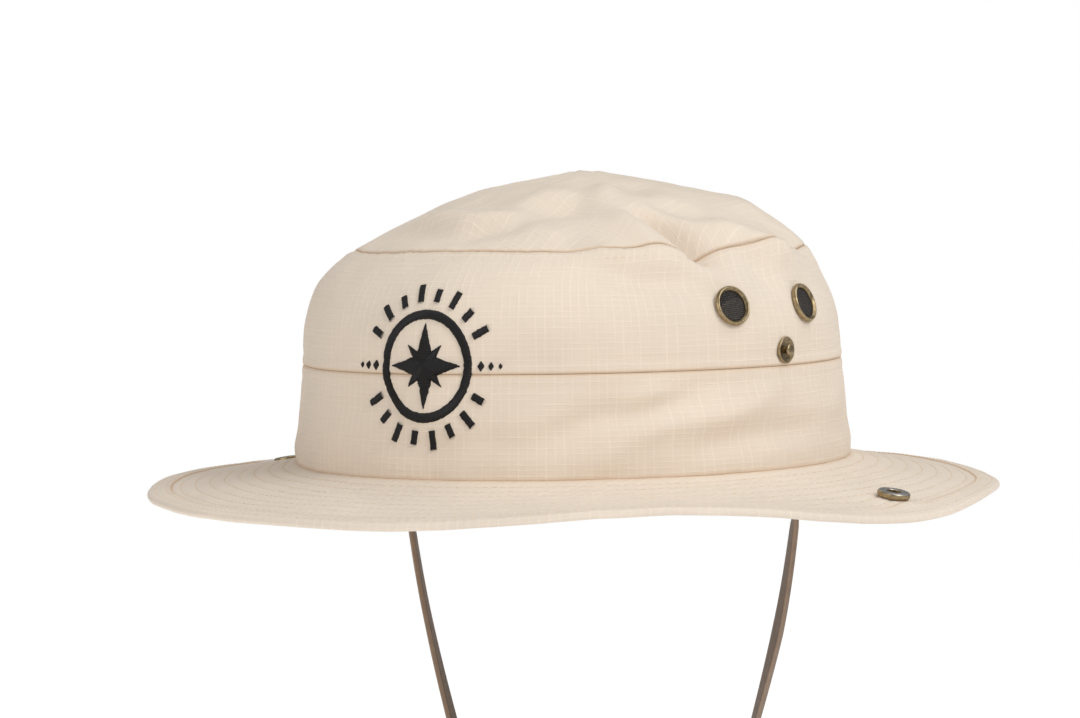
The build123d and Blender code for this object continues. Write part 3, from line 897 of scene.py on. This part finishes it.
def satinBar(bm, line, widths, seed):
    # a padded satin-stitched bar along a line, its edges a little ragged from the thread
    line, widths = np.array(line, float), np.array(widths, float)
    count = len(line)
    bar = bmesh.new()
    bmesh.ops.create_grid(bar, x_segments=count - 1, y_segments=6, size=1.0)
    bar.verts.index_update()
    square = np.array([v.co for v in bar.verts])
    t = (square[:, 0] + 1) / 2 * (count - 1)
    across = square[:, 1]
    x = np.interp(t, range(count), line[:, 0])
    y = np.interp(t, range(count), line[:, 1])
    tangent = np.gradient(line, axis=0)
    tangent /= np.maximum(np.linalg.norm(tangent, axis=1), 1e-6)[:, None]
    tx = np.interp(t, range(count), tangent[:, 0])
    ty = np.interp(t, range(count), tangent[:, 1])
    ragged = np.array([noise.noise(Vector((i * 1.7, seed, math.copysign(3, c)))) for i, c in zip(t, across)])
    half = np.interp(t, range(count), widths) / 2 + 0.3 * ragged
    dome = np.sqrt(np.clip(1 - across**2, 0, 1))
    edge = np.minimum(1, np.interp(t, range(count), widths) / 2.0)
    lift = -0.15 + (emblem["lift"] + emblem["height"] * edge) * dome**0.7
    places = onCrown(x - ty * half * across, y + tx * half * across, lift)
    moveVerts(bar, places)
    steps = np.concatenate([[0], np.cumsum(np.linalg.norm(np.diff(line, axis=0), axis=1))])
    length = np.interp(t, range(count), steps)
    uv = bar.loops.layers.uv.new("cloth")
    for face in bar.faces:
        face.smooth = True
        for loop in face.loops:
            i = loop.vert.index
            loop[uv].uv = (length[i] * mm, across[i] * half[i] * mm)
    bmesh.ops.recalc_face_normals(bar, faces=bar.faces)
    bar.faces.ensure_lookup_table()
    faceOut = 0
    for face in bar.faces:
        middle = face.calc_center_median()
        faceOut += face.normal.dot(Vector((middle.x, middle.y, 0)))
    if faceOut < 0:
        bmesh.ops.reverse_faces(bar, faces=bar.faces)
    mesh = bpy.data.meshes.new("bar")
    bar.to_mesh(mesh)
    bar.free()
    bm.from_mesh(mesh)
    bpy.data.meshes.remove(mesh)


def radial(angle, inner, outer, count):
    return [(math.cos(angle) * r, math.sin(angle) * r) for r in np.linspace(inner, outer, count)]


def makeEmblem():
    bm = bmesh.new()
    e = emblem
    turns = np.linspace(0, 2 * math.pi, 150)
    circle = [(e["ring"] * math.cos(a), e["ring"] * math.sin(a)) for a in turns]
    satinBar(bm, circle, [e["ringWidth"]] * 150, 1)
    for i in range(8):
        reach = e["longPoint"] if i % 2 == 0 else e["shortPoint"]
        wide = e["pointWidth"] if i % 2 == 0 else e["pointWidth"] * 0.7
        share = np.linspace(0, 1, 40)
        widths = wide * np.where(share < 0.3, 0.35 + share / 0.3 * 0.65, (1 - share) / 0.7) + 0.25
        satinBar(bm, radial(math.pi / 2 + i * math.pi / 4, -1.2, reach, 40), widths, 10 + i)
    for i in range(e["rays"]):
        angle = (i + 0.5) * 2 * math.pi / e["rays"]
        if abs(math.sin(angle)) < 0.30:
            continue
        outer = e["rayOut"] if i % 2 else e["rayOut"] - 1.6
        satinBar(bm, radial(angle, e["rayIn"], outer, 14), [e["rayWidth"]] * 14, 40 + i)
    for side in (-1, 1):
        for k, reach in enumerate((21.0, 24.6, 28.0)):
            size = (3.2, 2.6, 1.8)[k]
            share = np.linspace(-1, 1, 10)
            line = [(side * reach, y * size / 2) for y in share]
            satinBar(bm, line, size * 0.8 * (1 - np.abs(share)) + 0.3, 70 + k)
    return finishPiece(bm, "compassEmbroidery", blackThread, replaces=["front_emblem"])


makeEmblem()

print("hardware")


def spun(profile, steps=None):
    # a lathe-turned shape from (radius, height) points
    bm = bmesh.new()
    verts = [bm.verts.new((r, 0, h)) for r, h in profile]
    edges = [bm.edges.new(pair) for pair in zip(verts, verts[1:])]
    bmesh.ops.spin(bm, geom=verts + edges, cent=(0, 0, 0), axis=(0, 0, 1), dvec=(0, 0, 0),
                   angle=2 * math.pi, steps=steps or hardware["steps"], use_merge=True)
    bmesh.ops.remove_doubles(bm, verts=bm.verts, dist=0.0005)
    bmesh.ops.recalc_face_normals(bm, faces=bm.faces)
    return bm


def rounded(points, radius=0.25, parts=4):
    # soften a profile's corners
    result = [points[0]]
    for before, here, after in zip(points, points[1:], points[2:]):
        b, h, a = Vector(before), Vector(here), Vector(after)
        r = min(radius, (h - b).length * 0.45, (a - h).length * 0.45)
        start, end = h + (b - h).normalized() * r, h + (a - h).normalized() * r
        for t in np.linspace(0, 1, parts):
            result.append(tuple(start * (1 - t)**2 + h * 2 * t * (1 - t) + end * t * t))
    result.append(points[-1])
    return result


def planeOf(origin, out, along):
    out, along = Vector(out).normalized(), Vector(along).normalized()
    up = out.cross(along).normalized()
    along = up.cross(out)
    return Matrix.Translation(origin) @ Matrix((along, up, out)).transposed().to_4x4()


def wallPlane(side, forward, up):
    # side is 1 on the wearer's left; forward in degrees
    facing = math.radians(-forward) if side > 0 else math.radians(180 + forward)
    angle, ups = np.array([facing]), np.array([up])
    place = crownPoints(angle, ups, np.zeros(1))[0]
    out = normalsOf(lambda a, s: crownPoints(a, s, np.zeros(1), False), angle, ups)[0]
    if out[0] * side < 0:
        out = -out
    return planeOf(Vector(place), out, (0, side, 0))


def placed(bm, plane):
    bmesh.ops.transform(bm, matrix=plane, verts=bm.verts)
    return bm


def makeVent(name, node, plane):
    rim = rounded([(4.95, -2.2), (4.95, 0.9), (5.35, 1.25), (5.9, 1.75), (6.5, 1.1), (6.55, 0.1), (5.8, -0.1),
                   (5.75, -2.2), (4.95, -2.2)], 0.35)
    finishPiece(placed(spun(rim), plane), name + "Eyelet", brass,
                replaces=[node + "_eyelet"])
    washer = rounded([(5.85, -1.7), (6.6, -1.8), (6.6, -2.5), (5.4, -2.7), (5.0, -2.3), (5.85, -2.2),
                      (5.85, -1.7)], 0.2)
    finishPiece(placed(spun(washer), plane), name + "Washer", brass,
                replaces=[node + "_washer"])
    bm = bmesh.new()
    pitch, radius, wire = 0.62, 4.98, 0.17
    count = int(radius / pitch)
    for turned in (0, 1):
        for i in range(-count, count + 1):
            across = i * pitch
            reach = math.sqrt(max(0.01, radius**2 - across**2))
            parts = max(4, int(2 * reach / (pitch / 2)))
            strand = bmesh.new()
            loop = bmesh.ops.create_circle(strand, segments=4, radius=wire)["verts"]
            edges = list(strand.edges)
            stops = np.linspace(-reach, reach, parts + 1)
            sway = 0.16 * (1 if (i + turned) % 2 else -1)
            for k, s in enumerate(stops):
                if k:
                    made = bmesh.ops.extrude_edge_only(strand, edges=edges)["geom"]
                    loop = [g for g in made if isinstance(g, bmesh.types.BMVert)]
                    edges = [g for g in made if isinstance(g, bmesh.types.BMEdge)
                             and all(v in loop for v in g.verts)]
                height = 0.25 + sway * math.cos(s / pitch * math.pi)
                order = sorted(loop, key=lambda v: v.index) if k == 0 else loop
                for v, corner in zip(order, range(4)):
                    turn = corner * math.pi / 2
                    a, b = wire * math.cos(turn), wire * math.sin(turn)
                    v.co = (across + a, s, height + b) if turned else (s, across + a, height + b)
            mesh = bpy.data.meshes.new("strand")
            strand.to_mesh(mesh)
            strand.free()
            bm.from_mesh(mesh)
            bpy.data.meshes.remove(mesh)
    bmesh.ops.recalc_face_normals(bm, faces=bm.faces)
    backing = bmesh.ops.create_circle(bm, cap_ends=True, segments=32, radius=4.95)["verts"]
    bmesh.ops.translate(bm, vec=(0, 0, -0.25), verts=backing)
    finishPiece(placed(bm, plane), name + "Mesh", darkMesh, replaces=[node + "_mesh"])


def makeSide(side, word):
    for place, turn in (("front", hardware["ventAngle"]), ("rear", -hardware["ventAngle"])):
        plane = wallPlane(side, hardware["ventMiddle"] + turn, hardware["ventUp"])
        makeVent(word + place.capitalize() + "Vent", f"{word}_{place}_vent", plane)
    low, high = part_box(word + "_snap_stud")
    middle = (low + high) / 2 / mm
    base = (low.x if side > 0 else high.x) / mm
    face = base + side * (2.4 + 0.35)
    plane = planeOf(Vector((face, middle.y, middle.z)), (side, 0, 0), (0, side, 0))
    dish = rounded([(0.0, 0.05), (2.6, 0.1), (3.5, 0.6), (4.05, 0.8), (4.4, 0.45), (4.25, -0.15),
                    (3.2, -0.35), (0.0, -0.35)], 0.25)
    dishMesh = spun(dish)
    post = rounded([(0.0, -2.6), (1.1, -2.6), (1.15, 0.8), (1.4, 1.2), (1.95, 1.6), (2.0, 2.0), (1.7, 2.35),
                    (0.9, 2.52), (0.0, 2.55)], 0.3)
    postMesh = spun(post)
    mesh = bpy.data.meshes.new("post")
    postMesh.to_mesh(mesh)
    postMesh.free()
    dishMesh.from_mesh(mesh)
    bpy.data.meshes.remove(mesh)
    finishPiece(placed(dishMesh, plane), word + "Stud", brass,
                replaces=[word + "_snap_stud"])
    cap = rounded([(0.0, -3.3), (3.2, -3.3), (4.0, -3.0), (4.0, -2.5), (0.0, -2.5)], 0.3)
    finishPiece(placed(spun(cap), plane), word + "StudBack", brass,
                replaces=[word + "_stud_back"])
    makeSocket(side, word)


def makeSocket(side, word):
    slope = math.radians(hardware["slope"])
    out = hardware["socketX"] - hat["openingX"] - hat["brimIn"]
    origin = Vector((side * hardware["socketX"], hardware["sideY"], -out * math.tan(slope)))
    plane = planeOf(origin, (side * math.sin(slope), 0, math.cos(slope)), (0, side, 0))
    body = word + "_brim_side"
    ring = rounded([(2.4, 0.1), (2.4, 1.9), (2.75, 2.2), (3.3, 2.0), (4.1, 2.0), (4.7, 2.15), (5.2, 1.75),
                    (5.25, 0.6), (4.9, 0.1), (2.4, 0.1)], 0.25)
    ringMesh = spun(ring)
    for face in ringMesh.faces:
        face.material_index = 0 if face.normal.z > 0.5 else 1
    piece = finishPiece(placed(ringMesh, plane), word + "Socket", steelCap, body,
                        [word + "_snap_socket"])
    piece.data.materials.append(brass)
    spring = bmesh.new()
    bmesh.ops.create_circle(spring, segments=8, radius=0.22)
    bmesh.ops.rotate(spring, cent=(0, 0, 0), matrix=Matrix.Rotation(math.pi / 2, 3, "X"), verts=spring.verts)
    bmesh.ops.translate(spring, vec=(2.62, 0, 1.15), verts=spring.verts)
    bmesh.ops.spin(spring, geom=spring.verts[:] + spring.edges[:], cent=(0, 0, 0), axis=(0, 0, 1),
                   dvec=(0, 0, 0), angle=math.radians(320), steps=36)
    bmesh.ops.holes_fill(spring, edges=[e for e in spring.edges if e.is_boundary], sides=0)
    bmesh.ops.recalc_face_normals(spring, faces=spring.faces)
    finishPiece(placed(spring, plane), word + "SocketSpring", springSteel, body,
                [word + "_socket_spring"])
    cap = rounded([(0.0, 0.12), (2.35, 0.12), (2.35, -2.1), (2.7, -2.3), (4.6, -2.35), (5.2, -2.6),
                   (5.0, -3.0), (3.4, -3.3), (0.0, -3.35)], 0.3)
    finishPiece(placed(spun(cap), plane), word + "SocketCap", brass, body,
                [word + "_socket_cap"])


makeSide(1, "left")
makeSide(-1, "right")

print("chin strap")
strap = {
    "wide": 5.5, "thick": 1.8, "y": 9.0,
    # X and Z of each half's points, in mm, from the hat down
    "left": [(85.8, -1.5), (81.4, -38), (68.6, -82), (52.4, -128), (33.4, -173), (14.6, -206), (2.9, -227),
             (1.2, -241), (1.15, -262), (1.15, -305)],
    "right": [(-85.8, -1.5), (-80.6, -37), (-69.6, -80), (-53.4, -127), (-34.4, -171), (-15.2, -205),
              (-3.0, -226), (-1.2, -241), (-1.15, -262), (-1.15, -305)],
    # how far each has turned over, in degrees, at parts of its length
    "twist": {"left": [(0, 0), (0.06, -49), (0.17, -64), (0.28, -47), (0.5, -20), (0.74, 0)],
              "right": [(0, 0), (0.06, -30), (0.2, -22), (0.34, -8), (0.5, 6), (0.74, 0)]},
}


def routePoints(name, points):
    curve = bpy.data.curves.new(name + "Route", "CURVE")
    curve.dimensions = "3D"
    spline = curve.splines.new("NURBS")
    spline.points.add(len(points) - 1)
    for point, (x, z) in zip(spline.points, points):
        point.co = (x * mm, strap["y"] * mm, z * mm, 1)
    spline.order_u = 3
    spline.use_endpoint_u = True
    spline.resolution_u = 10
    holder = bpy.data.objects.new(name + "Route", curve)
    bpy.context.scene.collection.objects.link(holder)
    mesh = bpy.data.meshes.new_from_object(holder.evaluated_get(bpy.context.evaluated_depsgraph_get()))
    route = [v.co.copy() for v in mesh.vertices]
    bpy.data.objects.remove(holder)
    bpy.data.curves.remove(curve)
    bpy.data.meshes.remove(mesh)
    return route


def strapSection():
    # two plies with a crease along each narrow edge, in mm
    w, t = strap["wide"] / 2, strap["thick"] / 2
    half = [(-w + 0.45, t), (-w * 0.5, t * 1.04), (0, t * 0.94), (w * 0.5, t * 1.04), (w - 0.45, t),
            (w - 0.05, t * 0.6), (w - 0.02, t * 0.25), (w - 0.4, 0.0)]
    return half + [(-x, -y) for x, y in half]


def makeStrap(word):
    route = routePoints(word + "Strap", strap[word])
    section = strapSection()
    twistAt, twist = zip(*strap["twist"][word])
    bm = bmesh.new()
    first = [bm.verts.new((0, 0, 0)) for _ in section]
    edges = [bm.edges.new((a, b)) for a, b in zip(first, first[1:] + first[:1])]
    rings = []
    loop = first
    lengths = [0]
    for a, b in zip(route, route[1:]):
        lengths.append(lengths[-1] + (b - a).length)
    for k, place in enumerate(route):
        if k:
            made = bmesh.ops.extrude_edge_only(bm, edges=edges)["geom"]
            fresh = [g for g in made if isinstance(g, bmesh.types.BMVert)]
            edges = [g for g in made if isinstance(g, bmesh.types.BMEdge)
                     and all(v in fresh for v in g.verts)]
            partner = {}
            for v in fresh:
                for e in v.link_edges:
                    other = e.other_vert(v)
                    if other in loop:
                        partner[other] = v
            loop = [partner[v] for v in loop]
        ahead = route[min(k + 1, len(route) - 1)] - route[max(k - 1, 0)]
        along = ahead.normalized()
        share = lengths[k] / lengths[-1]
        turn = math.radians(float(np.interp(share, twistAt, twist)))
        flat = Vector((0, 1, 0))
        normal = along.cross(flat).normalized()
        flat = normal.cross(along)
        wide = flat * math.cos(turn) + normal * math.sin(turn)
        out = along.cross(wide)
        for v, (x, y) in zip(loop, section):
            v.co = place / mm + wide * x + out * y
        rings.append(list(loop))
    bmesh.ops.contextual_create(bm, geom=rings[0])
    bmesh.ops.contextual_create(bm, geom=rings[-1])
    bmesh.ops.recalc_face_normals(bm, faces=bm.faces)
    uv = bm.loops.layers.uv.new("cloth")
    where = {}
    for k, ring in enumerate(rings):
        for j, v in enumerate(ring):
            where[v] = (lengths[k], section[j][0] * mm)
    for face in bm.faces:
        narrow = all(abs(where[l.vert][1]) > 2.25 * mm for l in face.loops)
        face.material_index = 1 if narrow else 0
        for corner in face.loops:
            corner[uv].uv = where[corner.vert]
    piece = finishPiece(bm, word + "ChinStrap", strapCloth, "chin_strap",
                        [word + "_chin_strap"])
    piece.data.materials.append(strapEdge)
    return piece, route, lengths[-1]


lock = [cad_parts[n] for n in ("cord_lock_barrel", "cord_lock_button", "cord_lock_spring")]
for node, material in zip(lock, (lockPlastic, lockPlastic, springSteel)):
    node.data.materials.clear()
    node.data.materials.append(material)


def softBlock(name, size, middle, bevelBy, material, body, replaces):
    bm = bmesh.new()
    bmesh.ops.create_cube(bm, size=1.0)
    bmesh.ops.scale(bm, vec=size, verts=bm.verts)
    bmesh.ops.bevel(bm, geom=bm.edges[:], affect="EDGES", offset=bevelBy, segments=3, profile=0.5,
                    material=-1)
    bmesh.ops.subdivide_edges(bm, edges=bm.edges[:], cuts=1, use_grid_fill=True)
    bmesh.ops.translate(bm, vec=middle, verts=bm.verts)
    uv = bm.loops.layers.uv.new("cloth")
    for face in bm.faces:
        for loop in face.loops:
            loop[uv].uv = (loop.vert.co.y * mm, loop.vert.co.z * mm)
    return finishPiece(bm, name, material, body, replaces)


keeper = softBlock("strapKeeper", (6.2, 6.8, 10.6), (0, 9.0, -310.5), 0.9, strapCloth,
                   "chin_strap", ["strap_end_keeper"])
for word, sign in (("left", 1), ("right", -1)):
    softBlock(word + "StrapTab", (1.6, 6.3, 11.6), (sign * 85.8, 9.0, 7.6), 0.5, strapCloth,
              "root", [word + "_strap_tab"])
for word in ("left", "right"):
    piece, route, length = makeStrap(word)
    print(word, "strap", round(length, 4))

print("stage")


def makeStage():
    bm = bmesh.new()
    bmesh.ops.create_circle(bm, cap_ends=True, segments=64, radius=9.0)
    bmesh.ops.translate(bm, vec=(0, 0, -1.1), verts=bm.verts)
    mesh = bpy.data.meshes.new("paleFloor")
    bm.to_mesh(mesh)
    bm.free()
    floor = bpy.data.objects.new("paleFloor", mesh)
    bpy.context.scene.collection.objects.link(floor)
    material, nodes, links, shader = newMaterial("paleFloor", 0.9)
    shader.inputs["Base Color"].default_value = (0.06, 0.06, 0.06, 1)
    shader.inputs["Emission Color"].default_value = (1, 1, 1, 1)
    shader.inputs["Emission Strength"].default_value = 1.0
    mesh.materials.append(material)


def makeLight(name, turn, lift, distance, size, power, colour):
    data = bpy.data.lights.new(name, "AREA")
    data.size = size
    data.energy = power
    data.color = colour
    light = bpy.data.objects.new(name, data)
    a, b = math.radians(view["turn"] + turn), math.radians(lift)
    place = Vector((math.sin(a) * math.cos(b), -math.cos(a) * math.cos(b), math.sin(b))) * distance
    light.matrix_world = Matrix.Translation(place) @ (-place).to_track_quat("-Z", "Y").to_matrix().to_4x4()
    bpy.context.scene.collection.objects.link(light)


makeStage()
makeLight("keySoft", 44, 35, 1.9, 0.9, 13.0, (1.0, 0.995, 0.985))
makeLight("fillSoft", -42, 16, 2.0, 1.4, 9.0, (1.0, 0.98, 0.955))
makeLight("topSoft", 75, 66, 1.7, 1.2, 8.2, (0.92, 0.965, 1.0))
world = bpy.data.worlds.new("studio")
world.use_nodes = True
nodes, links = world.node_tree.nodes, world.node_tree.links
soft = nodes["Background"]
soft.inputs["Color"].default_value = (1, 1, 1, 1)
soft.inputs["Strength"].default_value = 0.4
# the eye sees plain white behind, whatever the light's strength
plain = nodes.new("ShaderNodeBackground")
seen = nodes.new("ShaderNodeLightPath")
choose = nodes.new("ShaderNodeMixShader")
links.new(seen.outputs["Is Camera Ray"], choose.inputs[0])
links.new(soft.outputs[0], choose.inputs[1])
links.new(plain.outputs[0], choose.inputs[2])
links.new(choose.outputs[0], nodes["World Output"].inputs[0])
plain.inputs["Color"].default_value = (1, 1, 1, 1)
plain.inputs["Strength"].default_value = 1.0
bpy.context.scene.world = world
bpy.context.scene.view_settings.view_transform = "Standard"
